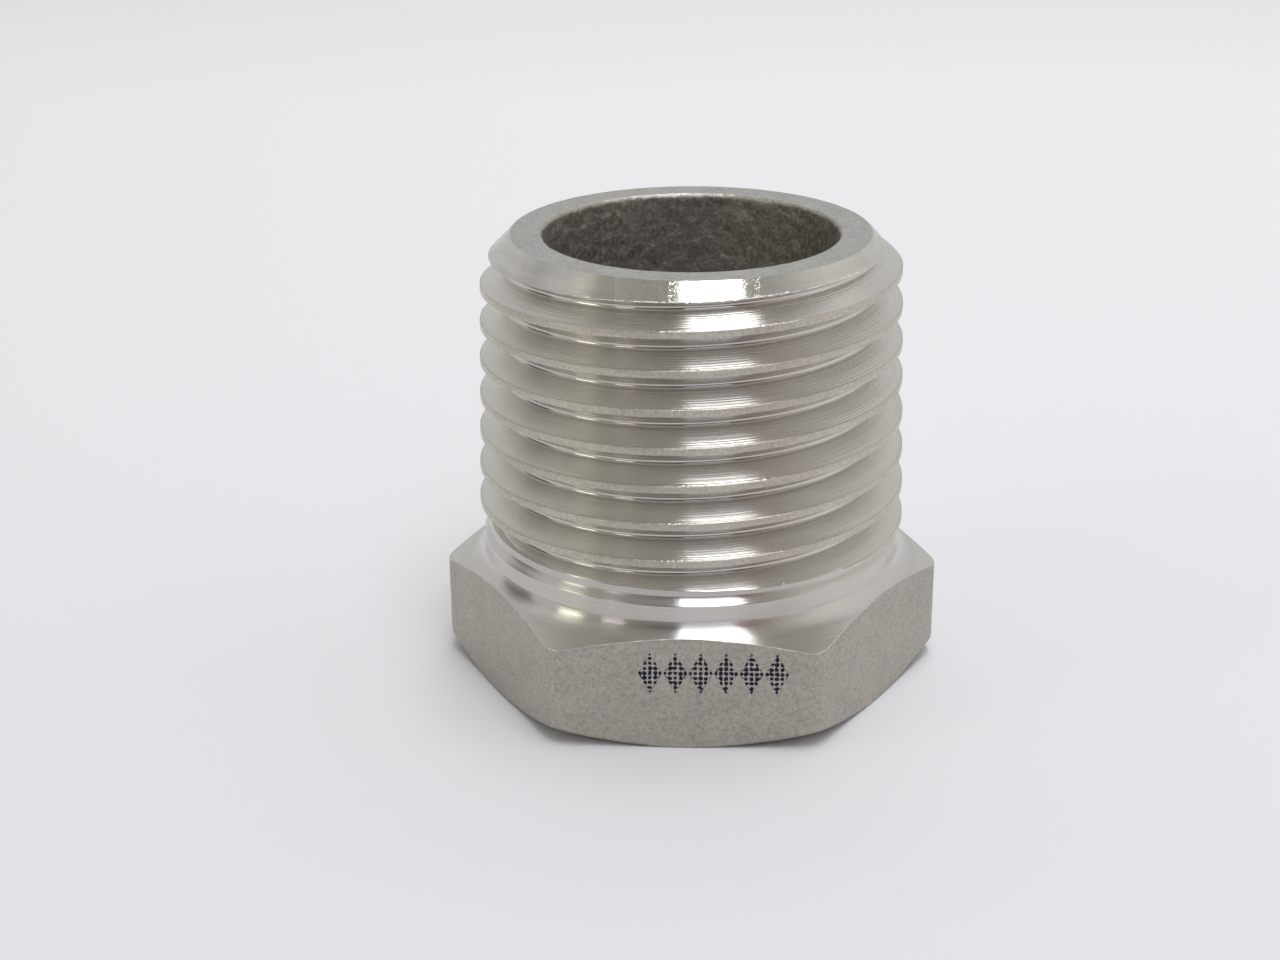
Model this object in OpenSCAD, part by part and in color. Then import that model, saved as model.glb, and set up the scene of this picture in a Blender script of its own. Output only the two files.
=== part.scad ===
// Hexagon reducing bushing: tapered male pipe thread above a hexagon wrench
// head, tapered female pipe thread inside the head, one bore right through.
// Millimetres, +Z up. The hexagon stands on z = 0 and one of its flats faces -Y.
// The metal is one casting. It is drawn as five regions that meet face to face.

/* [Hexagon head] */
// width across the flats
hex_af = 21.8; // [21.8:0.1:24]
// width across the softly rounded cast corners
hex_ac = 24.78; // [24.1:0.02:25]
// height of the side of the head at its corners, up to the turned cone
hex_side_h = 4.97; // [4.5:0.05:6]
// rise of the cone on top of the head, in degrees
cone_deg = 24.6; // [20:0.2:28]
// rise of the chamfer under the head, in degrees
under_deg = 28; // [20:1:32]

/* [Male thread] */
// threads per inch
male_tpi = 14; // [14:1:18]
// crest radius at the free end of the fitting
male_end_r = 10.155; // [10:0.005:10.3]
// thread depth, crest to root
male_depth = 1.18; // [0.9:0.01:1.25]
// width of the flat crest
male_crest_w = 0.31; // [0.15:0.01:0.33]
// overall height of the fitting
total_h = 22.25; // [20.5:0.05:24]
// outer radius of the flat end face
end_face_r = 8.72; // [8.5:0.01:8.8]
// slope of the chamfer at the free end, in degrees
end_chamfer_deg = 45; // [40:1:50]

/* [Neck] */
// radius of the turned land between head and thread
land_r = 10.4; // [10.2:0.01:10.45]
// height of the land's top edge above the foot of its fillet
land_h = 1.4; // [1.2:0.01:1.6]
// radius of the narrow groove above the land
groove_r = 10.08; // [9.9:0.01:10.15]
// width of that groove below the thread
groove_w = 0.34; // [0.2:0.02:0.5]

/* [Bore and female thread] */
// radius of the cast bore
bore_r = 7.145; // [6.8:0.005:7.2]
// radius of the hole that is tapped, which the thread crests keep
tap_hole_r = 7.34; // [7.25:0.01:7.4]
// threads per inch
female_tpi = 18; // [18:1:20]
// root radius of the thread at its mouth
female_root_r = 8.47; // [8.3:0.01:8.5]
// depth of the drilled hole
female_h = 12; // [11:0.1:13]
// depth of its thread, which fades out over the last turns
thread_h = 10.4; // [9:0.1:10.6]
// radius of the countersink at the mouth
mouth_r = 8.6; // [8.55:0.01:8.75]

/* [Hidden] */
$fn = 96;

taper = 1/32;                  // pipe thread: radius lost per unit of height
flank = tan(30);               // 60 degree thread form
steps = 72;                    // thread sections in a turn
phase = 181.351;               // angle at which a crest passes crest_z

corner_r = hex_ac/2;
seat_r = hex_af/2 - 0.06;      // contact circle under the head
cone_t = tan(cone_deg);
neck_r = land_r + 0.4;         // where the neck's fillet meets the cone
neck_z = hex_side_h + (corner_r - neck_r)*cone_t;
land_z = neck_z + land_h;
groove_z = land_z + land_r - groove_r;
start_z = groove_z + groove_w; // the thread begins here
ch_t = tan(end_chamfer_deg);

mp = 25.4/male_tpi;
fp = 25.4/female_tpi;
crest_z = total_h - 2.505;     // height of one crest at the phase angle
function male_r(z) = male_end_r + (total_h - z)*taper;
function root_r(z) = male_r(z) - male_depth;
// outer radius of the tapped region, drawn in slightly towards the bore
function core(z) = 8.9 - z/100;
// the end chamfer meets the root cone here
ch_z = total_h - (root_r(total_h) - end_face_r)/(1/ch_t - taper);
root_w = male_crest_w + 2*male_depth*flank;

// a closed solid swept through rings of equal length, one cap at each end
module sweep(rings) {
    n = len(rings);
    m = len(rings[0]);
    polyhedron(
        points = [for (r = rings) for (p = r) p],
        faces = concat(
            [[for (j = [0:m - 1]) m - 1 - j]],
            [[for (j = [0:m - 1]) (n - 1)*m + j]],
            [for (i = [0:n - 2]) for (j = [0:m - 1])
                let (a = i*m + j, b = i*m + (j + 1)%m)
                each [[a, b, b + m], [a, b + m, a + m]]]
        ),
        convexity = 12
    );
}

// one ring of a right-hand thread: profile points [radius, height] about a crest
function ring(profile, ang, z) = [for (p = profile) [p[0]*cos(ang), p[0]*sin(ang), z + p[1]]];

module hex_head() {
    color("lightsteelblue")
    intersection() {
        cylinder(r = hex_af/2/cos(30), h = neck_z, $fn = 6);
        rotate_extrude()
            polygon([
                [core(0), 0], [seat_r, 0],
                [corner_r, (corner_r - seat_r)*tan(under_deg)],
                [corner_r, hex_side_h], [neck_r, neck_z], [core(neck_z), neck_z]
            ]);
    }
}

module relief_neck() {
    color("slategray")
    rotate_extrude()
        polygon([
            [core(neck_z), neck_z], [neck_r, neck_z],
            [land_r + 0.25, neck_z + 0.2], [land_r + 0.1, neck_z + 0.43],
            [land_r, neck_z + 0.66], [land_r, land_z],
            [groove_r, groove_z], [groove_r, start_z], [core(start_z), start_z]
        ]);
}

module shank() {
    color("silver")
    rotate_extrude()
        polygon([
            [core(start_z), start_z], [root_r(start_z), start_z],
            [root_r(ch_z), ch_z], [end_face_r, total_h],
            [bore_r, total_h], [bore_r, female_h + 0.2],
            [tap_hole_r, female_h], [tap_hole_r, thread_h],
            [core(thread_h), thread_h]
        ]);
}

module male_thread() {
    z_lo = start_z - 1.6;
    z_hi = total_h + 1.6;
    i_lo = floor((z_lo - crest_z)/mp*steps);
    i_hi = ceil((z_hi - crest_z)/mp*steps);
    color("gainsboro")
    intersection() {
        sweep([for (i = [i_lo:i_hi])
            let (z = crest_z + i*mp/steps, r0 = root_r(z), r1 = male_r(z))
            ring([
                [r0 - 0.25, -root_w/2], [r0, -root_w/2],
                [r1, -male_crest_w/2], [r1, male_crest_w/2],
                [r0, root_w/2], [r0 - 0.25, root_w/2]
            ], phase + i*360/steps, z)]);
        rotate_extrude()
            polygon([
                [root_r(start_z), start_z], [12, start_z + 0.25],
                [12, total_h - (12 - end_face_r)*ch_t], [root_r(ch_z), ch_z]
            ]);
    }
}

module female_thread() {
    fsteps = 60;
    i_hi = ceil((thread_h + 0.9)/fp*fsteps);
    i_lo = floor(-1.4/fp*fsteps);
    color("dimgray")
    difference() {
        rotate_extrude()
            polygon([
                [core(0), 0], [mouth_r, 0],
                [tap_hole_r, (mouth_r - tap_hole_r)*0.85],
                [tap_hole_r, thread_h], [core(thread_h), thread_h]
            ]);
        sweep([for (i = [i_lo:i_hi])
            let (z = i*fp/fsteps,
                 out = min(1, (thread_h - 0.2 - z)/4.2),
                 ro = max(tap_hole_r - 0.04, tap_hole_r + (female_root_r - z*taper - tap_hole_r)*out),
                 w = 0.05 + 2*max(0, ro - tap_hole_r)*flank)
            ring([
                [tap_hole_r - 0.08, -w/2], [tap_hole_r - 0.01, -w/2],
                [ro, -0.025], [ro, 0.025],
                [tap_hole_r - 0.01, w/2], [tap_hole_r - 0.08, w/2]
            ], i*360/fsteps, z)]);
    }
}

hex_head();
relief_neck();
shank();
male_thread();
female_thread();
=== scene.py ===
import math

import bpy
import numpy as np
from mathutils import Matrix, Vector


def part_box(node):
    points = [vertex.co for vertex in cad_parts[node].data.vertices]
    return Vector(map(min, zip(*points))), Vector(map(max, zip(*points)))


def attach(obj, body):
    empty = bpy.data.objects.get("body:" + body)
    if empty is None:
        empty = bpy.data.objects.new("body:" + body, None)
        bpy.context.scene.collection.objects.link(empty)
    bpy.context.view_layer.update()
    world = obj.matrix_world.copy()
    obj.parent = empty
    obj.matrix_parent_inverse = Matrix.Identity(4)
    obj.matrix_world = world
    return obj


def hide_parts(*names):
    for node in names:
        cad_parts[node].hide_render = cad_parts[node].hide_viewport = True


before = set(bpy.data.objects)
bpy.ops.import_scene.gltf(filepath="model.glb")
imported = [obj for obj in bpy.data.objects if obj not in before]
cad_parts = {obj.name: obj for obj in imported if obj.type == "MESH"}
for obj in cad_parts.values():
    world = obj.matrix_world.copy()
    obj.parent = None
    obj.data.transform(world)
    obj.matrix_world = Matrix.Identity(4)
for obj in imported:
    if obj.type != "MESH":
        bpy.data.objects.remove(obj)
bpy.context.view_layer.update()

# ----------------------------------------------------------------------------
# sizes in millimetres, the same as the CAD's, tied to the CAD's own boxes
# ----------------------------------------------------------------------------
def top_mm(node):
    lo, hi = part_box(node)
    return hi[2] * 1000.0

def wide_mm(node, axis):
    lo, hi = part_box(node)
    return (hi[axis] - lo[axis]) * 1000.0

TOTAL = top_mm("shank")                 # height of the end face
APO = wide_mm("hex_head", 1) / 2        # half the width across flats
CORNER = wide_mm("hex_head", 0) / 2     # radius at the rounded corners
START_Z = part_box("male_thread")[0][2] * 1000.0   # where the thread begins
FEM_TOP = top_mm("female_thread")       # end of the tapped grooves
HOLE_TOP = 12.0                         # end of the drilled hole

P = 25.4 / 14
TAPER = 1 / 32
T30 = math.tan(math.radians(30))
DEPTH = 1.17
CREST_W = 0.31
END_R = 8.72
BORE_R = 7.145
TAP_R = 7.34
MOUTH_R = 8.6
Z0 = TOTAL - 2.505
PHASE = math.radians(181.351)
CONE_T = math.tan(math.radians(24.6))
SEAT_R = APO - 0.06
UNDER_T = math.tan(math.radians(28))
SIDE_H = 4.97                           # top of the hexagon's corners
LAND_R = 10.4                           # turned land of the neck
NECK_R = 10.08                          # narrow groove between land and thread
LAND_Z = START_Z - 0.66                 # top edge of the land

N = 720               # columns round the axis
PHI = np.arange(N) * 2 * np.pi / N


def male_r(z):
    return 10.155 + (TOTAL - z) * TAPER


def root_r(z):
    return male_r(z) - DEPTH


# ----------------------------------------------------------------------------
# smooth repeatable noise
# ----------------------------------------------------------------------------
_rng = np.random.RandomState(7)
_perm = np.concatenate([_rng.permutation(256)] * 3)
_grad = _rng.normal(size=(256, 3))
_grad /= np.linalg.norm(_grad, axis=1)[:, None]


def noise3(p):
    """Gradient noise at points (..., 3), about -0.7 to 0.7."""
    p = np.asarray(p, float)
    i = np.floor(p).astype(int)
    f = p - i
    i &= 255
    w = f * f * f * (f * (f * 6 - 15) + 10)
    out = np.zeros(p.shape[:-1])
    for dx in (0, 1):
        for dy in (0, 1):
            for dz in (0, 1):
                h = _perm[_perm[_perm[i[..., 0] + dx] + i[..., 1] + dy] + i[..., 2] + dz]
                g = _grad[h]
                d = f - np.array([dx, dy, dz])
                ww = (w[..., 0] if dx else 1 - w[..., 0]) * (w[..., 1] if dy else 1 - w[..., 1]) * (w[..., 2] if dz else 1 - w[..., 2])
                out += ww * (g * d).sum(-1)
    return out


def fbm(p, octaves=4, gain=0.5):
    a, s, out = 1.0, 1.0, 0.0
    for o in range(octaves):
        out = out + a * noise3(np.asarray(p) * s + 17.3 * o)
        a *= gain
        s *= 2.03
    return out


def smoothstep(a, b, x):
    t = np.clip((x - a) / (b - a), 0, 1)
    return t * t * (3 - 2 * t)


# ----------------------------------------------------------------------------
# mesh builder: rows of columns round the axis, in millimetres
# ----------------------------------------------------------------------------
def build(name, X, across, mat, shift=0, sharp=30, flip=False, extra=None):
    """X is (rows, N, 3). The columns close on themselves, shift rows higher."""
    J = X.shape[0]
    j = np.arange(J - 1)[:, None]
    i = np.arange(N)[None, :]
    a = j * N + i
    i2 = (i + 1) % N
    up = np.where(i == N - 1, shift, 0)
    ok = (j + up + 1) < J
    b = np.clip(j + up, 0, J - 1) * N + i2
    c = np.clip(j + up + 1, 0, J - 1) * N + i2
    d = (j + 1) * N + i
    quads = np.stack([a + 0 * b, b, c, d + 0 * b], -1)[np.broadcast_to(ok, b.shape)]
    V = X.reshape(-1, 3)
    key = np.round(V * 1e5).astype(np.int64)
    uniq, first, inv = np.unique(key, axis=0, return_index=True, return_inverse=True)
    inv = inv.reshape(-1)
    V = V[first]
    acr = across.reshape(-1)[first]
    more = {k: np.broadcast_to(v, across.shape).reshape(-1)[first] for k, v in (extra or {}).items()}
    quads = inv[quads]
    if flip:
        quads = quads[:, ::-1]
    faces = []
    same = [(quads[:, k] == quads[:, (k + 1) % 4]) for k in range(4)]
    cnt = sum(s.astype(int) for s in same)
    diag = (quads[:, 0] == quads[:, 2]) | (quads[:, 1] == quads[:, 3])
    full = quads[(cnt == 0) & ~diag]
    tri_src = quads[(cnt == 1) & ~diag]
    tsame = np.stack(same, 1)[(cnt == 1) & ~diag]
    drop = tsame.argmax(1)
    keep = np.array([[k for k in range(4) if k != dd] for dd in range(4)])
    tris = np.take_along_axis(tri_src, keep[drop], axis=1) if len(tri_src) else np.zeros((0, 3), int)
    used = np.unique(np.concatenate([full.reshape(-1), tris.reshape(-1)]))
    remap = np.full(len(V), -1)
    remap[used] = np.arange(len(used))
    V, acr = V[used], acr[used]
    more = {k: v[used] for k, v in more.items()}
    full, tris = remap[full], remap[tris]
    me = bpy.data.meshes.new(name)
    nq, nt = len(full), len(tris)
    me.vertices.add(len(V))
    me.vertices.foreach_set("co", (V * 0.001).astype(np.float32).reshape(-1))
    me.loops.add(nq * 4 + nt * 3)
    me.loops.foreach_set("vertex_index", np.concatenate([full.reshape(-1), tris.reshape(-1)]).astype(np.int32))
    me.polygons.add(nq + nt)
    starts = np.concatenate([np.arange(nq) * 4, nq * 4 + np.arange(nt) * 3]).astype(np.int32)
    me.polygons.foreach_set("loop_start", starts)
    me.update(calc_edges=True)
    me.validate()
    me.shade_smooth()
    at = me.attributes.new("across", "FLOAT", "POINT")
    if len(me.vertices) == len(acr):
        at.data.foreach_set("value", acr.astype(np.float32))
        for k, v in more.items():
            me.attributes.new(k, "FLOAT", "POINT").data.foreach_set("value", v.astype(np.float32))
    if sharp:
        me.set_sharp_from_angle(angle=math.radians(sharp))
    ob = bpy.data.objects.new(name, me)
    bpy.context.scene.collection.objects.link(ob)
    me.materials.append(mat)
    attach(ob, "root")
    return ob


def ring(r, z):
    """One row: r and z are numbers or arrays round the axis."""
    r = np.broadcast_to(np.asarray(r, float), (N,))
    z = np.broadcast_to(np.asarray(z, float), (N,))
    return np.stack([r * np.cos(PHI), r * np.sin(PHI), z], -1)


# ----------------------------------------------------------------------------
# materials
# ----------------------------------------------------------------------------
def node(nt, kind, x=0, y=0, **inputs):
    n = nt.nodes.new(kind)
    n.location = (x, y)
    for k, v in inputs.items():
        n.inputs[k].default_value = v
    return n


def new_mat(name):
    m = bpy.data.materials.new(name)
    m.use_nodes = True
    nt = m.node_tree
    nt.nodes.clear()
    out = nt.nodes.new("ShaderNodeOutputMaterial")
    bsdf = nt.nodes.new("ShaderNodeBsdfPrincipled")
    nt.links.new(bsdf.outputs[0], out.inputs[0])
    return m, nt, bsdf


def math_node(nt, op, a, b=None, clamp=False):
    n = nt.nodes.new("ShaderNodeMath")
    n.operation = op
    n.use_clamp = clamp
    for k, v in enumerate((a, b)):
        if v is None:
            continue
        if isinstance(v, (int, float)):
            n.inputs[k].default_value = v
        else:
            nt.links.new(v, n.inputs[k])
    return n.outputs[0]


def ramp(nt, fac, stops):
    n = nt.nodes.new("ShaderNodeValToRGB")
    els = n.color_ramp.elements
    while len(els) < len(stops):
        els.new(0.5)
    for e, (pos, col) in zip(els, stops):
        e.position = pos
        e.color = (*col, 1) if len(col) == 3 else col
    nt.links.new(fac, n.inputs[0])
    return n.outputs[0]


def map_range(nt, v, a, b, c, d):
    n = nt.nodes.new("ShaderNodeMapRange")
    nt.links.new(v, n.inputs[0])
    for k, x in zip((1, 2, 3, 4), (a, b, c, d)):
        n.inputs[k].default_value = x
    return n.outputs[0]


def tex_noise(nt, vec, scale, detail=3, rough=0.55, dist=0.0):
    n = nt.nodes.new("ShaderNodeTexNoise")
    n.inputs["Scale"].default_value = scale
    n.inputs["Detail"].default_value = detail
    n.inputs["Roughness"].default_value = rough
    n.inputs["Distortion"].default_value = dist
    nt.links.new(vec, n.inputs["Vector"])
    return n.outputs["Fac"]


def attribute(nt, name):
    n = nt.nodes.new("ShaderNodeAttribute")
    n.attribute_name = name
    return n.outputs["Fac"]


def mix(nt, fac, a, b, mode="MIX"):
    n = nt.nodes.new("ShaderNodeMixRGB")
    n.blend_type = mode
    for k, v in enumerate((fac, a, b)):
        if isinstance(v, (int, float, tuple)):
            n.inputs[k].default_value = v
        else:
            nt.links.new(v, n.inputs[k])
    return n.outputs[0]


def machined(name, color=(0.635, 0.609, 0.570), rough=0.2, aniso=0.6, streak=0.5, along=16.0, freq=7.0, dist=0.00004,
             crest=False):
    """Turned stainless steel: fine lines round the axis, torn crests, pitted chamfer."""
    m, nt, b = new_mat(name)
    tc = nt.nodes.new("ShaderNodeTexCoord")
    sep = nt.nodes.new("ShaderNodeSeparateXYZ")
    nt.links.new(tc.outputs["Object"], sep.inputs[0])
    at = nt.nodes.new("ShaderNodeAttribute")
    at.attribute_name = "across"
    # line coordinate: fast across the tool marks, very slow along them
    com = nt.nodes.new("ShaderNodeCombineXYZ")
    nt.links.new(math_node(nt, "ADD", math_node(nt, "MULTIPLY", at.outputs["Fac"], freq),
                           math_node(nt, "MULTIPLY", sep.outputs["Z"], 900.0)), com.inputs[0])
    nt.links.new(math_node(nt, "MULTIPLY", sep.outputs["X"], along), com.inputs[1])
    nt.links.new(math_node(nt, "MULTIPLY", sep.outputs["Y"], along), com.inputs[2])
    lines = tex_noise(nt, com.outputs[0], 1.0, 2, 0.6)
    com2 = nt.nodes.new("ShaderNodeCombineXYZ")
    nt.links.new(math_node(nt, "ADD", math_node(nt, "MULTIPLY", at.outputs["Fac"], 3.0),
                           math_node(nt, "MULTIPLY", sep.outputs["Z"], 300.0)), com2.inputs[0])
    nt.links.new(math_node(nt, "MULTIPLY", sep.outputs["X"], 90.0), com2.inputs[1])
    nt.links.new(math_node(nt, "MULTIPLY", sep.outputs["Y"], 90.0), com2.inputs[2])
    bands = tex_noise(nt, com2.outputs[0], 1.0, 2, 0.5)
    cloud = tex_noise(nt, tc.outputs["Object"], 330.0, 3, 0.6)
    # colour: warm grey steel with faint stains along the lines
    tone = math_node(nt, "ADD", math_node(nt, "MULTIPLY", bands, 0.6), math_node(nt, "MULTIPLY", cloud, 0.4))
    c = color
    col = ramp(nt, tone, [(0.30, tuple(x * 0.93 for x in c)), (0.52, c), (0.75, tuple(min(x * 1.05, 1) for x in c))])
    r = map_range(nt, lines, 0.3, 0.7, rough * 0.85, rough * 1.2)
    grain = tex_noise(nt, tc.outputs["Object"], 7000.0, 2, 0.6)
    bump2_in = None
    if crest:
        on, cham, flank = (attribute(nt, k) for k in ("crest", "chamfer", "flank"))
        torn = mix(nt, map_range(nt, grain, 0.35, 0.65, 0.0, 1.0), (0.80, 0.77, 0.73, 1), (1.0, 0.97, 0.93, 1))
        col = mix(nt, on, col, mix(nt, 1.0, col, torn, "MULTIPLY"))
        r = math_node(nt, "ADD", r, math_node(nt, "ADD", math_node(nt, "MULTIPLY", on, 0.15), math_node(nt, "MULTIPLY", cham, 0.10)))
        r = math_node(nt, "ADD", r, math_node(nt, "MULTIPLY", flank, 0.09))
        patch = map_range(nt, tex_noise(nt, tc.outputs["Object"], 420.0, 2, 0.5), 0.50, 0.62, 0.0, 0.7)
        zone = ramp(nt, map_range(nt, sep.outputs["X"], -0.010, 0.010, 0.0, 1.0), [
            (0.340, (0, 0, 0)), (0.400, (1, 1, 1)), (0.460, (1, 1, 1)), (0.495, (0, 0, 0)),
            (0.620, (0, 0, 0)), (0.665, (1, 1, 1)), (0.760, (1, 1, 1)), (0.810, (0, 0, 0))])
        patch = math_node(nt, "MAXIMUM", patch, zone)
        pits = map_range(nt, tex_noise(nt, tc.outputs["Object"], 15000.0, 1, 0.5), 0.55, 0.61, 0.0, 1.0)
        bump2_in = (math_node(nt, "MULTIPLY", math_node(nt, "MULTIPLY", pits, patch), cham),
                    math_node(nt, "MULTIPLY", math_node(nt, "MULTIPLY", grain, on), 0.5))
        lines = math_node(nt, "MULTIPLY", lines, math_node(nt, "ADD", math_node(nt, "MULTIPLY", flank, 0.9), 0.1))
    nt.links.new(col, b.inputs["Base Color"])
    b.inputs["Metallic"].default_value = 1.0
    nt.links.new(r, b.inputs["Roughness"])
    b.inputs["Anisotropic"].default_value = aniso
    b.inputs["Anisotropic Rotation"].default_value = 0.25
    tan = nt.nodes.new("ShaderNodeTangent")
    tan.direction_type = "RADIAL"
    tan.axis = "Z"
    nt.links.new(tan.outputs[0], b.inputs["Tangent"])
    bump = nt.nodes.new("ShaderNodeBump")
    bump.inputs["Strength"].default_value = streak
    bump.inputs["Distance"].default_value = dist
    nt.links.new(lines, bump.inputs["Height"])
    last = bump
    if bump2_in:
        b2 = nt.nodes.new("ShaderNodeBump")
        b2.inputs["Strength"].default_value = 1.0
        b2.inputs["Distance"].default_value = 0.00009
        nt.links.new(math_node(nt, "ADD", *bump2_in), b2.inputs["Height"])
        nt.links.new(bump.outputs[0], b2.inputs["Normal"])
        last = b2
    nt.links.new(last.outputs[0], b.inputs["Normal"])
    return m


def ink_marks(nt, obj):
    """A row of six dotted diamonds printed on the front flat."""
    wob = nt.nodes.new("ShaderNodeTexNoise")
    wob.inputs["Scale"].default_value = 6000.0
    wob.inputs["Detail"].default_value = 1.0
    nt.links.new(obj, wob.inputs["Vector"])
    sp = nt.nodes.new("ShaderNodeSeparateXYZ")
    nt.links.new(obj, sp.inputs[0])
    x = math_node(nt, "MULTIPLY", math_node(nt, "ADD", sp.outputs["X"], 0.00223), 1000.0)
    z = math_node(nt, "MULTIPLY", math_node(nt, "ADD", sp.outputs["Z"], -0.00393), 1000.0)
    cell = 7.1 / 6
    u = math_node(nt, "MULTIPLY", math_node(nt, "ADD", math_node(nt, "FRACT", math_node(nt, "MULTIPLY", x, 1 / cell)), -0.5), cell)
    dia = math_node(nt, "ADD", math_node(nt, "MULTIPLY", math_node(nt, "ABSOLUTE", u), 1.9), math_node(nt, "ABSOLUTE", z))
    pitch = 0.25

    def local(v):
        return math_node(nt, "MULTIPLY", math_node(nt, "ADD", math_node(nt, "FRACT", math_node(
            nt, "ADD", math_node(nt, "MULTIPLY", v, 1 / pitch), 0.5)), -0.5), pitch)
    gu, gz = local(u), local(z)
    d = math_node(nt, "SQRT", math_node(nt, "ADD", math_node(nt, "MULTIPLY", gu, gu), math_node(nt, "MULTIPLY", gz, gz)))
    d = math_node(nt, "ADD", d, math_node(nt, "MULTIPLY", wob.outputs["Fac"], 0.16))
    on = math_node(nt, "LESS_THAN", d, 0.182)
    on = math_node(nt, "MULTIPLY", on, math_node(nt, "LESS_THAN", dia, 1.06))
    on = math_node(nt, "MULTIPLY", on, math_node(nt, "GREATER_THAN", x, 0.0))
    on = math_node(nt, "MULTIPLY", on, math_node(nt, "LESS_THAN", x, 7.1))
    return math_node(nt, "MULTIPLY", on, math_node(nt, "LESS_THAN", sp.outputs["Y"], -0.0106))


def cast(name, color=(0.47, 0.45, 0.42), rough=0.5, dark=1.0, grain=1.0, distance=0.00002, ink=False, torn=False):
    """As-cast, blasted stainless steel: matte, finely grained, faintly mottled."""
    m, nt, b = new_mat(name)
    tc = nt.nodes.new("ShaderNodeTexCoord")
    obj = tc.outputs["Object"]
    fine = tex_noise(nt, obj, 11000.0, 2, 0.6)
    mid = tex_noise(nt, obj, 5200.0, 3, 0.6)
    big = tex_noise(nt, obj, 650.0, 3, 0.55)
    tint = tex_noise(nt, obj, 3400.0, 2, 0.5)
    g = math_node(nt, "ADD", math_node(nt, "MULTIPLY", mid, 0.5),
                  math_node(nt, "ADD", math_node(nt, "MULTIPLY", big, 0.15), math_node(nt, "MULTIPLY", fine, 0.35)))
    c = tuple(x * dark for x in color)
    grey = ramp(nt, g, [(0.34, tuple(x * 0.70 for x in c)), (0.50, c), (0.66, tuple(min(x * 1.26, 1) for x in c))])
    mixn = nt.nodes.new("ShaderNodeMixRGB")
    mixn.blend_type = "MULTIPLY"
    mixn.inputs[0].default_value = 0.8
    nt.links.new(grey, mixn.inputs[1])
    nt.links.new(ramp(nt, tint, [(0.35, (0.96, 1.0, 0.96)), (0.5, (1, 1, 1)), (0.65, (1.0, 0.955, 0.93))]), mixn.inputs[2])
    skin = mixn.outputs[0]
    if torn:
        bits = math_node(nt, "MULTIPLY", map_range(nt, tex_noise(nt, obj, 4200.0, 1, 0.5), 0.48, 0.58, 0.0, 1.0),
                         map_range(nt, tex_noise(nt, obj, 300.0, 2, 0.5), 0.42, 0.58, 0.15, 1.0))
        skin = mix(nt, bits, tuple(0.60 * x for x in c) + (1,), skin)
    if ink:
        skin = mix(nt, ink_marks(nt, obj), skin, (0.030, 0.026, 0.052, 1))
    nt.links.new(skin, b.inputs["Base Color"])
    b.inputs["Metallic"].default_value = 1.0
    nt.links.new(map_range(nt, mid, 0.3, 0.7, rough * 0.85, rough * 1.15), b.inputs["Roughness"])
    h = math_node(nt, "ADD", math_node(nt, "MULTIPLY", fine, 0.5), math_node(nt, "MULTIPLY", mid, 1.2))
    bump = nt.nodes.new("ShaderNodeBump")
    bump.inputs["Strength"].default_value = grain
    bump.inputs["Distance"].default_value = distance
    nt.links.new(h, bump.inputs["Height"])
    nt.links.new(bump.outputs[0], b.inputs["Normal"])
    return m


MAT_THREAD = machined("turned_thread", color=(0.640, 0.615, 0.565), rough=0.13, aniso=1.0, streak=0.6, dist=0.00005, freq=9.0, crest=True)
MAT_TOP = machined("turned_cone", rough=0.23, aniso=1.0, streak=0.4)
MAT_CAST = cast("cast_skin", color=(0.468, 0.437, 0.396), ink=True)
MAT_EDGE = cast("torn_edge", color=(0.90, 0.88, 0.85), rough=0.30, grain=1.0, distance=0.00006, torn=True)
MAT_END = cast("cast_end_face", color=(0.455, 0.445, 0.425), rough=0.42, grain=0.7)
MAT_BORE = cast("cast_bore", color=(0.43, 0.40, 0.36), rough=0.5, grain=1.0, distance=0.000025)
MAT_FEM = machined("tapped_thread", color=(0.66, 0.64, 0.60), rough=0.28, aniso=0.5, streak=0.3)

# ----------------------------------------------------------------------------
# male thread: one continuous turned surface
# ----------------------------------------------------------------------------
def thread_profile(n_flank):
    """One pitch about a crest: axial offset, depth and distance from the nearer root."""
    t30, c30 = math.tan(math.radians(30)), math.cos(math.radians(30))
    ce = CREST_W / 2
    corner = ce + DEPTH * t30                 # where flank and root would meet
    lo_r, hi_r, edge_r = 0.02, 0.18, 0.035    # radii below the crest, above it, and at its edges
    lo_x = -(corner + lo_r * t30)
    hi_x = corner + hi_r * t30
    pts = []
    for a in np.radians(np.linspace(0, 60, 4)):
        pts.append((lo_x + lo_r * math.sin(a), DEPTH - lo_r + lo_r * math.cos(a)))
    up = []
    for a in np.radians(np.linspace(0, 60, 4)):
        up.append((ce - edge_r * t30 + edge_r * math.sin(a), edge_r * (1 - math.cos(a))))
    x0, d0 = pts[-1]
    x1, d1 = -up[-1][0], up[-1][1]
    for k in np.linspace(0, 1, n_flank + 2)[1:-1]:
        pts.append((x0 + (x1 - x0) * k, d0 + (d1 - d0) * k))
    pts += [(-x, d) for x, d in up[::-1]]
    pts += [(0.0, 0.0)]
    pts += up
    low = [(hi_x - hi_r * math.sin(a), DEPTH - hi_r + hi_r * math.cos(a)) for a in np.radians(np.linspace(60, 0, 9))]
    x0, d0 = pts[-1]
    x1, d1 = low[0]
    for k in np.linspace(0, 1, n_flank + 2)[1:-1]:
        pts.append((x0 + (x1 - x0) * k, d0 + (d1 - d0) * k))
    pts += low
    pts = np.array(pts)
    cum = np.concatenate([[0], np.cumsum(np.hypot(*np.diff(pts, axis=0).T))])
    return pts[:, 0], pts[:, 1], np.minimum(cum, cum[-1] - cum)


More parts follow.
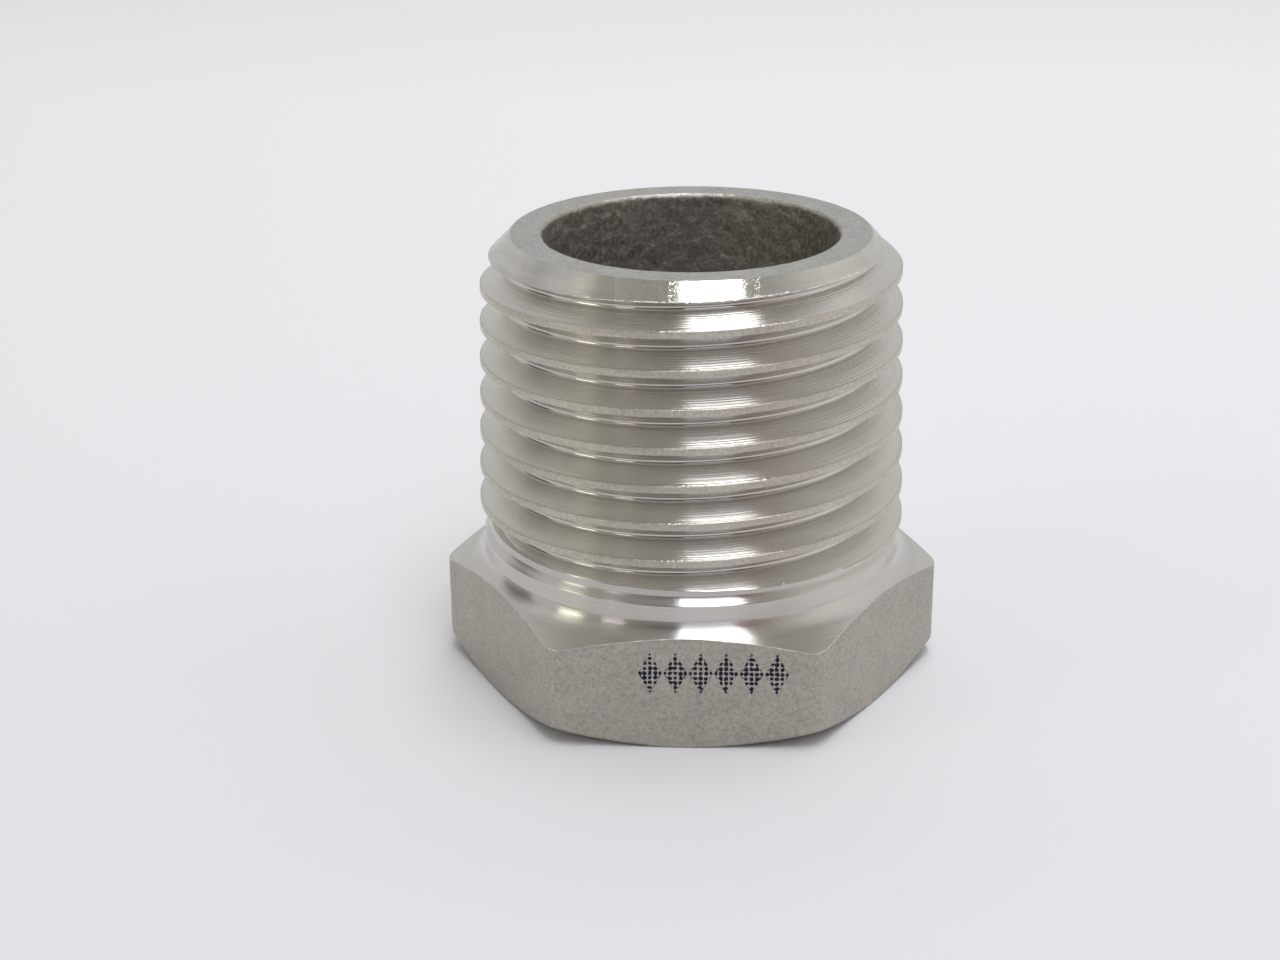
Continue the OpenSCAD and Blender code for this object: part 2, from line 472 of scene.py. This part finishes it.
px, pd, pa = thread_profile(12)
NP_ = len(px)
K_LO, K_HI = -10, 3
rows_z, rows_d, rows_a = [], [], []
for k in range(K_LO, K_HI + 1):
    rows_z.append(px + k * P)
    rows_d.append(pd)
    rows_a.append(pa)
rz = np.concatenate(rows_z)[:, None]
rd = np.concatenate(rows_d)[:, None]
ra = np.concatenate(rows_a)[:, None]
lift = P * (PHI[None, :] - PHASE) / (2 * np.pi)
Z = Z0 + rz + lift
D = np.broadcast_to(rd, Z.shape).copy()
A = np.broadcast_to(ra, Z.shape).copy()
R = male_r(Z) - D

# burrs and nicks along the crest edges
cx_, sx_ = np.cos(PHI)[None, :], np.sin(PHI)[None, :]
pos = np.stack([R * cx_, R * sx_, Z], -1)
edge = np.exp(-((D - 0.02) / 0.05) ** 2)
nick = noise3(pos * np.array([5.0, 5.0, 3.0]))
nick2 = noise3(pos * np.array([2.1, 2.1, 1.0]) + 40)
R = R - edge * 0.055 * smoothstep(0.30, 0.60, nick) + edge * 0.02 * smoothstep(0.25, 0.5, nick2)
# slow waviness of the flanks, a few thousandths of a millimetre
R = R + 0.004 * noise3(np.stack([A * 1.5 + 3, cx_ * 3 + 0 * Z, sx_ * 3 + Z * 0.3], -1)) * smoothstep(0.05, 0.2, D)

# end chamfer: a cone the thread is cut back to
ch = END_R + (TOTAL - Z)


def snap(Z, R, A, g_fn, lo=True):
    """Moves the nearest row onto each place where g changes sign down a column."""
    g = g_fn(Z, R)
    s = np.sign(g)
    J = Z.shape[0]
    jj, ii = np.nonzero((s[:-1] * s[1:]) < 0)
    g0, g1 = g[jj, ii], g[jj + 1, ii]
    t = g0 / (g0 - g1)
    zc = Z[jj, ii] * (1 - t) + Z[jj + 1, ii] * t
    rc = R[jj, ii] * (1 - t) + R[jj + 1, ii] * t
    ac = A[jj, ii] * (1 - t) + A[jj + 1, ii] * t
    tgt = np.where(t < 0.5, jj, jj + 1)
    Z[tgt, ii], R[tgt, ii], A[tgt, ii] = zc, rc, ac
    return Z, R, A


crest_at = (D < 0.03).astype(float)
flank_at = smoothstep(0.02, 0.05, D) * smoothstep(DEPTH - 0.06, DEPTH - 0.16, D)
Z, R, A = snap(Z, R, A, lambda z, r: r - (END_R + (TOTAL - z)))
over = R > END_R + (TOTAL - Z)
R = np.where(over, END_R + (TOTAL - Z), R)
A = np.where(over, 3.0 + (TOTAL - Z) * 1.414, A)
crest_at = np.where(over, 0.0, crest_at)
flank_at = np.where(over, 0.0, flank_at)
# end of the fitting
top = Z > TOTAL
R = np.where(top, END_R, R)
Z = np.minimum(Z, TOTAL)
A = np.where(top, 3.0, A)

# foot of the thread: the flat upper wall of the groove


def foot_z(r):
    return START_Z + 0.25 * (r - root_r(START_Z)) / (12 - root_r(START_Z))


Z, R, A = snap(Z, R, A, lambda z, r: z - foot_z(r))
below = Z < foot_z(R) - 1e-9
# radius of the thread where it meets the groove wall, column by column
Zm = np.where(below, -1e9, Z)
first = (Z >= foot_z(R) - 1e-9).argmax(0)
cols = np.arange(N)
r_foot = R[first, cols]
z_foot = Z[first, cols]
R = np.where(below, r_foot[None, :], R)
Z = np.where(below, z_foot[None, :], Z)
A = np.where(below, A[first, cols][None, :], A)
X = np.stack([R * cx_, R * sx_, Z], -1)
thread = build("turned_male_thread", X, A, MAT_THREAD, shift=NP_, sharp=24,
               extra={"crest": crest_at, "flank": flank_at, "chamfer": over.astype(float)})
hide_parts("male_thread")

# ----------------------------------------------------------------------------
# groove wall, land, fillet and cone, one turned surface round the neck
# ----------------------------------------------------------------------------
def hex_r(phi, apo, corner):
    """Hexagon with rounded corners, flats facing -Y and +Y."""
    rho = (apo / math.cos(math.pi / 6) - corner) / (1 / math.cos(math.pi / 6) - 1)
    d = (phi - math.radians(270) + math.pi / 6) % (math.pi / 3) - math.pi / 6
    d = np.abs(d)
    flat = apo / np.cos(d)
    beta = math.pi / 6 - d
    c = (apo - rho) / math.cos(math.pi / 6)
    arc = c * np.cos(beta) + np.sqrt(np.maximum(rho ** 2 - (c * np.sin(beta)) ** 2, 0))
    start = math.atan((apo - rho) * math.tan(math.pi / 6) / apo)
    return np.where(d < start, flat, arc)


HEX = hex_r(PHI, APO, CORNER)


FIL_R = 1.35                              # large fillet that runs the neck out on the cone
T_LO, T_HI = math.radians(24.6), math.radians(72)
FIL_C = LAND_R + FIL_R * math.sin(T_HI)
FIL_END = FIL_C - FIL_R * math.sin(T_LO)
FIL_ZC = SIDE_H + (CORNER - FIL_END) * CONE_T + FIL_R * math.cos(T_LO)
FIL_TOP = FIL_ZC - FIL_R * math.cos(T_HI)


def cone_z(r):
    """Top of the head: the fillet near the neck, the cone further out."""
    arc_z = FIL_ZC - np.sqrt(np.maximum(FIL_R ** 2 - (FIL_C - np.minimum(r, FIL_END)) ** 2, 0))
    return np.where(r < FIL_END, arc_z, SIDE_H + (CORNER - r) * CONE_T)


SLOPE = math.radians(45)
z_turn = LAND_Z + (LAND_R - NECK_R) * math.tan(SLOPE)
neck_rows = [(r_foot, z_foot)]
rc_ = 0.26
zc_ = z_turn + rc_ * math.tan((math.pi / 2 - SLOPE) / 2)
# under the first thread a lower flank runs down into the groove
z_lip = START_Z + (z_foot - START_Z) * smoothstep(NECK_R, NECK_R + 0.1, r_foot) - 0.56 * np.maximum(r_foot - NECK_R, 0)
z_lip = np.maximum(z_lip, zc_ + 0.015)
for t in np.linspace(0, 1, 4)[1:]:
    neck_rows.append((r_foot * (1 - t) + NECK_R * t, z_foot * (1 - t) + z_lip * t))
for t in np.linspace(0, 1, 5)[1:]:
    neck_rows.append((NECK_R, z_lip + (zc_ - z_lip) * t))
for k in np.linspace(0, 1, 7)[1:]:
    th = math.pi / 2 - k * (math.pi / 2 - SLOPE)
    neck_rows.append((NECK_R + rc_ - rc_ * math.sin(th), zc_ - rc_ * math.cos(th)))
r_s, z_s = neck_rows[-1]
for t in np.linspace(0, 1, 6)[1:]:
    neck_rows.append((r_s + (LAND_R - 0.010 - r_s) * t, z_s + (LAND_Z + 0.010 - z_s) * t))
neck_rows += [(LAND_R - 0.002, LAND_Z - 0.004), (LAND_R, LAND_Z - 0.02)]
# land, then the fillet and the cone out to the edge of the head
for t in np.linspace(0, 1, 8)[1:]:
    neck_rows.append((LAND_R, LAND_Z - 0.02 + (FIL_TOP + 0.015 - LAND_Z + 0.02) * t))
EDGE = 0.03
r_c0 = LAND_R + 0.004
for t in np.linspace(0, 1, 25):
    rr = r_c0 + (HEX - EDGE - r_c0) * t ** 1.25
    neck_rows.append((rr, cone_z(rr)))
arc = 0.0
rowsX, rowsA = [], []
prev = None
for r, z in neck_rows:
    r_, z_ = np.mean(r), np.mean(z)
    if prev is not None:
        arc += math.hypot(r_ - prev[0], z_ - prev[1])
    prev = (r_, z_)
    rowsX.append(ring(r, z))
    rowsA.append(np.full(N, arc))
Xn = np.array(rowsX)[::-1]
An = np.array(rowsA)[::-1]
# use the radius itself on the cone so that the lines stay round
rr_all = np.hypot(Xn[..., 0], Xn[..., 1])
An = np.where(rr_all > r_c0, 5.0 + rr_all, An)
neck = build("turned_neck_and_cone", Xn, An, MAT_TOP, sharp=30)
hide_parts("relief_neck")

# ----------------------------------------------------------------------------
# hexagon: cast skin on the six sides, the under chamfer and the seat
# ----------------------------------------------------------------------------
hex_rows = []
z_top = cone_z(HEX - EDGE)
r_out = HEX
z_bot = (HEX - SEAT_R) * UNDER_T
z_side_top = z_top - 0.03
hex_rows.append((HEX - EDGE, z_top))
hex_rows.append((HEX - EDGE * 0.35, z_top - 0.010))
hex_rows.append((HEX, z_side_top))
soft = 0.22                               # softness of the lower edge
n_side = 40
lower = np.minimum(z_bot + soft, z_side_top - 0.5)
for t in np.linspace(0, 1, n_side)[1:]:
    hex_rows.append((HEX, z_side_top + (lower - z_side_top) * t))
# rounded turn from the side into the chamfer, then the chamfer down to the seat
ca, sa = math.cos(math.radians(28)), math.sin(math.radians(28))
for k in np.linspace(0, 1, 7)[1:]:
    # quadratic curve between the two straight parts
    p0r, p0z = HEX, lower
    p1r, p1z = HEX, z_bot
    m = np.minimum(soft, (HEX - SEAT_R) * 0.8)
    p2r, p2z = HEX - m, z_bot - m * UNDER_T
    hex_rows.append(((1 - k) ** 2 * p0r + 2 * k * (1 - k) * p1r + k * k * p2r,
                     (1 - k) ** 2 * p0z + 2 * k * (1 - k) * p1z + k * k * p2z))
for k in np.linspace(0, 1, 10)[1:]:
    hex_rows.append((p2r + (SEAT_R - 0.05 - p2r) * k, np.maximum(p2z * (1 - k), 0.0)))
for k in np.linspace(0, 1, 8)[1:]:
    hex_rows.append((SEAT_R - 0.05 + (8.9 - SEAT_R + 0.05) * k, 0.0 * HEX))
Xh = np.array([ring(r, z) for r, z in hex_rows])
# cast skin: a slight unevenness, pushed inwards only so that the box holds
rr_all = np.hypot(Xh[..., 0], Xh[..., 1])
inner = smoothstep(0.0, 0.35, z_top[None, :] - Xh[..., 2]) * smoothstep(0.0, 0.25, Xh[..., 2])
dent = 0.010 * (fbm(Xh * 1.3, 3) + 0.7) + 0.006 * (fbm(Xh * 5.0, 2) + 0.7)
nr = Xh[..., :2] / rr_all[..., None]
Xh[..., :2] -= nr * (dent * inner)[..., None]
hexa = build("cast_hexagon_skin", Xh[::-1], np.zeros(Xh.shape[:2]), MAT_CAST, sharp=30)
hexa.data.materials.append(MAT_EDGE)
mi = np.zeros(len(hexa.data.polygons), np.int32)
cz = np.zeros(len(hexa.data.polygons) * 3, np.float32)
hexa.data.polygons.foreach_get("center", cz)
cz = cz.reshape(-1, 3) * 1000
mi[cz[:, 2] > cone_z(np.hypot(cz[:, 0], cz[:, 1]) + 0.01) - 0.030] = 1
hexa.data.polygons.foreach_set("material_index", mi)
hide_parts("hex_head")

# ----------------------------------------------------------------------------
# end face and cast bore
# ----------------------------------------------------------------------------
zr = []
er = [(END_R, TOTAL), (END_R - 0.02, TOTAL)]
for t in np.linspace(0, 1, 16)[1:]:
    er.append((END_R - 0.02 + (BORE_R + 0.22 - END_R + 0.02) * t, TOTAL))
for k in np.linspace(0, 1, 7)[1:]:
    a = k * math.pi / 2
    er.append((BORE_R + 0.22 - 0.22 * math.sin(a), TOTAL - 0.22 * (1 - math.cos(a))))
nb = 70
for t in np.linspace(0, 1, nb)[1:]:
    er.append((BORE_R, TOTAL - 0.22 - (TOTAL - 0.22 - HOLE_TOP - 0.2) * t))
er.append((TAP_R, HOLE_TOP))
for t in np.linspace(0, 1, 5)[1:]:
    er.append((TAP_R, HOLE_TOP + (FEM_TOP - HOLE_TOP) * t))
Xe = np.array([ring(r, z) for r, z in er])
re_ = np.hypot(Xe[..., 0], Xe[..., 1])
depth_in = np.clip((TOTAL - Xe[..., 2]), 0, None)
bore_zone = smoothstep(BORE_R + 0.30, BORE_R + 0.02, re_) * smoothstep(0.0, 0.6, Xe[..., 2] - HOLE_TOP - 0.15)
rough_b = 0.060 * fbm(Xe * 1.1 + 5, 4, 0.6) + 0.05 * np.maximum(noise3(Xe * 2.4 + 9), 0)
nr = Xe[..., :2] / re_[..., None]
Xe[..., :2] += nr * (bore_zone * (rough_b + 0.02))[..., None]
face_zone = smoothstep(0.0, 0.25, END_R - re_) * (Xe[..., 2] > TOTAL - 1e-6)
Xe[..., 2] -= face_zone * 0.012 * np.clip(fbm(Xe * 1.7, 3) + 0.5, 0, 1)
endb = build("cast_end_face_and_bore", Xe[::-1], np.zeros(Xe.shape[:2]), MAT_END, sharp=50)
endb.data.materials.append(MAT_BORE)
mi = np.zeros(len(endb.data.polygons), np.int32)
cz = np.zeros(len(endb.data.polygons) * 3, np.float32)
endb.data.polygons.foreach_get("center", cz)
cz = cz.reshape(-1, 3) * 1000
mi[(np.hypot(cz[:, 0], cz[:, 1]) < BORE_R + 0.12)] = 1
endb.data.polygons.foreach_set("material_index", mi)
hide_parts("shank")

# ----------------------------------------------------------------------------
# female thread, cut into the hexagon end
# ----------------------------------------------------------------------------
FP = 25.4 / 18
F_ROOT = 8.47
half = np.linspace(0, 1, 9)
fx = np.concatenate([half[::-1] * -FP / 2, (half * FP / 2)[1:-1]])     # groove centre at 0
nf = len(fx)
K0, K1 = -3, int(FEM_TOP / FP) + 2
zf = np.concatenate([fx + k * FP for k in range(K0, K1)])[:, None]
xf = np.concatenate([fx for k in range(K0, K1)])[:, None]
Zf = zf + FP * PHI[None, :] / (2 * np.pi)
outf = np.clip((FEM_TOP - 0.2 - Zf) / 4.2, 0, 1)
ro = np.maximum(TAP_R, TAP_R + (F_ROOT - Zf * TAPER - TAP_R) * outf)
Rf = np.maximum(TAP_R, ro - np.maximum(np.abs(xf) - 0.025, 0) / T30)
Af = (Rf - TAP_R)
# countersink at the mouth
mouth = MOUTH_R - Zf / 0.85
Zf, Rf, Af = snap(Zf, Rf, Af, lambda z, r: r - (MOUTH_R - z / 0.85))
mouth = MOUTH_R - Zf / 0.85
Rf = np.where(Rf < mouth, mouth, Rf)
lowf = Zf < 0
Rf = np.where(lowf, MOUTH_R, Rf)
Zf = np.where(lowf, 0.0, Zf)
hif = Zf > FEM_TOP
Rf = np.where(hif, TAP_R, Rf)
Zf = np.where(hif, FEM_TOP, Zf)
Xf = np.stack([Rf * cx_, Rf * sx_, Zf], -1)
fem = build("tapped_female_thread", Xf, Af, MAT_FEM, shift=nf, sharp=24, flip=True)
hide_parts("female_thread")
# the flat between the countersink and the cast seat
seat = build("turned_mouth_ring", np.array([ring(MOUTH_R, 0), ring(8.72, 0), ring(8.9, 0)])[::-1],
             np.array([np.full(N, v) for v in (0.3, 0.12, 0.0)]), MAT_FEM, sharp=30)

# ----------------------------------------------------------------------------
# floor, light and camera
# ----------------------------------------------------------------------------
def plane(name, size, z=0.0):
    me = bpy.data.meshes.new(name)
    s = size / 2
    me.from_pydata([(-s, -s, z), (s, -s, z), (s, s, z), (-s, s, z)], [], [(0, 1, 2, 3)])
    ob = bpy.data.objects.new(name, me)
    bpy.context.scene.collection.objects.link(ob)
    return ob


floor = plane("floor", 6.0)
fm, fnt, fb = new_mat("pale_floor_painted_falloff")
ftc = fnt.nodes.new("ShaderNodeTexCoord")
fsp = fnt.nodes.new("ShaderNodeSeparateXYZ")
fnt.links.new(ftc.outputs["Object"], fsp.inputs[0])
# painted shade: the floor colour runs darker towards the front and lighter towards the back, standing in for the light
# falling off across the table
fnt.links.new(ramp(fnt, map_range(fnt, fsp.outputs["Y"], -0.03, 0.21, 0.0, 1.0), [
    (0.04, (0.731, 0.731, 0.742)), (0.22, (0.768, 0.768, 0.780)), (0.70, (0.850, 0.850, 0.860))]), fb.inputs["Base Color"])
fb.inputs["Roughness"].default_value = 0.6
fb.inputs["Specular IOR Level"].default_value = 0.2
floor.data.materials.append(fm)

world = bpy.data.worlds.new("studio")
bpy.context.scene.world = world
world.use_nodes = True
wn = world.node_tree
wn.nodes.clear()
wo = wn.nodes.new("ShaderNodeOutputWorld")
bg = wn.nodes.new("ShaderNodeBackground")
tc = wn.nodes.new("ShaderNodeTexCoord")
sp = wn.nodes.new("ShaderNodeSeparateXYZ")
wn.links.new(tc.outputs["Generated"], sp.inputs[0])
# a belt of room round the table, dark where the lens looks from, under a dimmer ceiling
az = math_node(wn, "ARCTAN2", sp.outputs["X"], math_node(wn, "MULTIPLY", sp.outputs["Y"], -1.0))
belt = ramp(wn, map_range(wn, az, -math.pi, math.pi, 0.0, 1.0), [
    ((-180 + 180) / 360, (0.78, 0.79, 0.80)),
    ((-95 + 180) / 360, (0.84, 0.85, 0.86)),
    ((-66 + 180) / 360, (0.62, 0.64, 0.58)),
    ((-46 + 180) / 360, (0.42, 0.41, 0.37)),
    ((-24 + 180) / 360, (0.26, 0.235, 0.215)),
    ((4 + 180) / 360, (0.03, 0.025, 0.030)),
    ((20 + 180) / 360, (0.07, 0.04, 0.045)),
    ((34 + 180) / 360, (0.30, 0.19, 0.19)),
    ((52 + 180) / 360, (0.62, 0.58, 0.57)),
    ((80 + 180) / 360, (1.05, 1.05, 1.05)),
    ((180 + 180) / 360, (0.78, 0.79, 0.80)),
])
el = math_node(wn, "ARCSINE", sp.outputs["Z"])
# a dark thing standing low to the left of the table
low = math_node(wn, "MULTIPLY", map_range(wn, el, math.radians(28), math.radians(34), 1.0, 0.0), ramp(
    wn, map_range(wn, az, -math.pi, math.pi, 0.0, 1.0), [
        ((-117 + 180) / 360, (0, 0, 0)), ((-113 + 180) / 360, (1, 1, 1)),
        ((-94 + 180) / 360, (1, 1, 1)), ((-90 + 180) / 360, (0, 0, 0))]))
thing = wn.nodes.new("ShaderNodeMixRGB")
wn.links.new(low, thing.inputs[0])
wn.links.new(belt, thing.inputs[1])
thing.inputs[2].default_value = (0.20, 0.195, 0.185, 1)
up = map_range(wn, el, math.radians(46), math.radians(58), 0.0, 1.0)
mixw = wn.nodes.new("ShaderNodeMixRGB")
wn.links.new(up, mixw.inputs[0])
wn.links.new(thing.outputs[0], mixw.inputs[1])
mixw.inputs[2].default_value = (0.46, 0.46, 0.44, 1)
wn.links.new(mixw.outputs[0], bg.inputs[0])
bg.inputs[1].default_value = 0.82
wn.links.new(bg.outputs[0], wo.inputs[0])


def area(name, loc, normal, up, sx, sy, radiance, color=(1, 1, 1)):
    """A rectangular light of even radiance; its face looks along normal, its height runs along up."""
    li = bpy.data.lights.new(name, "AREA")
    li.shape = "RECTANGLE"
    li.size, li.size_y = sx, sy
    li.energy = radiance * math.pi * sx * sy
    li.color = color
    ob = bpy.data.objects.new(name, li)
    z = -Vector(normal).normalized()
    y = Vector(up)
    y = (y - z * y.dot(z)).normalized()
    x = y.cross(z)
    ob.matrix_world = Matrix(((x.x, y.x, z.x, loc[0]), (x.y, y.y, z.y, loc[1]), (x.z, y.z, z.z, loc[2]), (0, 0, 0, 1)))
    bpy.context.scene.collection.objects.link(ob)
    return ob


def aimed(name, azimuth, elevation, dist, sx, sy, radiance, color=(1, 1, 1), target=(0, 0, 0.014)):
    """A light at an azimuth from the front, positive to the right, facing the fitting."""
    a, e = math.radians(azimuth), math.radians(elevation)
    d = Vector((math.sin(a) * math.cos(e), -math.cos(a) * math.cos(e), math.sin(e)))
    loc = Vector(target) + d * dist
    return area(name, loc, -d, (0, 0, 1) if elevation < 80 else (0, 1, 0), sx, sy, radiance, color)


# softbox in strips: each runs from (y, z) to (y, z), leaning back over the fitting
for name, (ya, za), (yb, zb), power, tint in (
        ("softbox_back", (-0.120, 0.319), (0.240, 0.679), 5.7, (0.985, 0.985, 1.0)),
        ("softbox_front", (-0.160, 0.279), (-0.120, 0.319), 6.2, (0.84, 0.885, 1.0)),
        ("softbox_skirt", (-0.2225, 0.2165), (-0.160, 0.279), 2.4, (0.84, 0.885, 1.0)),
        ("softbox_foot", (-0.285, 0.154), (-0.2225, 0.2165), 1.5, (0.84, 0.88, 1.0))):
    area(name, (0.050, (ya + yb) / 2, (za + zb) / 2), (0, 1, -1), (0, 1, 1), 0.138, math.hypot(yb - ya, zb - za), power, tint)
aimed("high_softbox", 180, 52, 0.80, 0.60, 0.35, 0.4, (1.0, 0.995, 0.985))
aimed("side_lamp", -67, 26, 0.40, 0.090, 0.080, 3.2, (1.0, 1.0, 0.82))
aimed("fill_lamp", -41, 26, 0.40, 0.075, 0.060, 2.4, (0.95, 0.88, 1.0))
aimed("green_lamp", -91, 52, 0.40, 0.070, 0.070, 0.15, (0.95, 1.0, 0.70))

cam_data = bpy.data.cameras.new("camera")
cam_data.sensor_width = 36.0
cam_data.sensor_fit = "HORIZONTAL"
cam_data.lens = 36.0 * 2149.7 / 1280.0
cam_data.clip_start = 0.001
cam_data.clip_end = 50.0
cam = bpy.data.objects.new("camera", cam_data)
rx = (0.99891954, 0.04579626, -0.00790345)
ru = (-0.00950652, 0.36782984, 0.92984452)
rf_ = (-0.04549053, 0.92876472, -0.36786777)
c = (0.00237253233, -0.10060021878, 0.04912689872)
cam.matrix_world = Matrix(((rx[0], ru[0], -rf_[0], c[0]), (rx[1], ru[1], -rf_[1], c[1]), (rx[2], ru[2], -rf_[2], c[2]), (0, 0, 0, 1)))
bpy.context.scene.collection.objects.link(cam)
bpy.context.scene.camera = cam
bpy.context.scene.view_settings.view_transform = "Standard"
